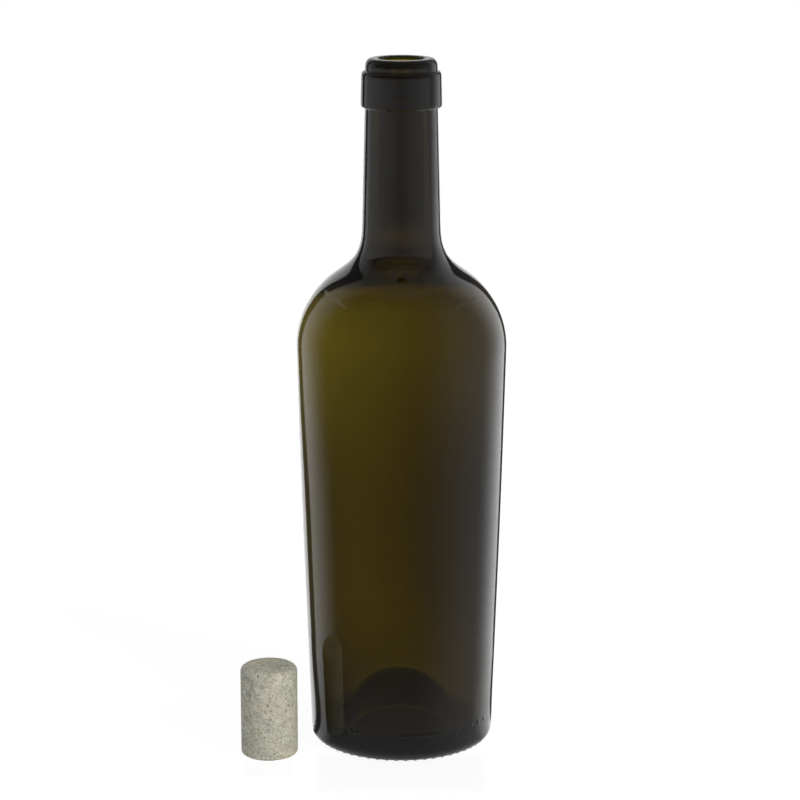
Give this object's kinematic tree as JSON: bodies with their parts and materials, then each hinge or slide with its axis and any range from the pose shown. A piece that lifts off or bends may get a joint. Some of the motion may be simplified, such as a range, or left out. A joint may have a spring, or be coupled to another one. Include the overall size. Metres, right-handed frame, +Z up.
{
  "type": "wine bottle",
  "caption": "Empty dark green glass wine bottle with a tapered body, rounded shoulder, banded finish and deep punt, and its plain cork stood beside it.",
  "frame": {"origin": "centre of the flat ring that the bottle stands on, at floor level", "axes": "+Z up along the bottle's axis towards its mouth, -Y to the front, +X to the right, with the cork to the left and a little in front"},
  "size_m": [0.1097, 0.0864, 0.285],
  "materials": {
    "glass": "gloss",
    "cork": "matte"
  },
  "bodies": {
    "root": {"bottle": "glass", "cork": "cork"}
  },
  "joints": []
}
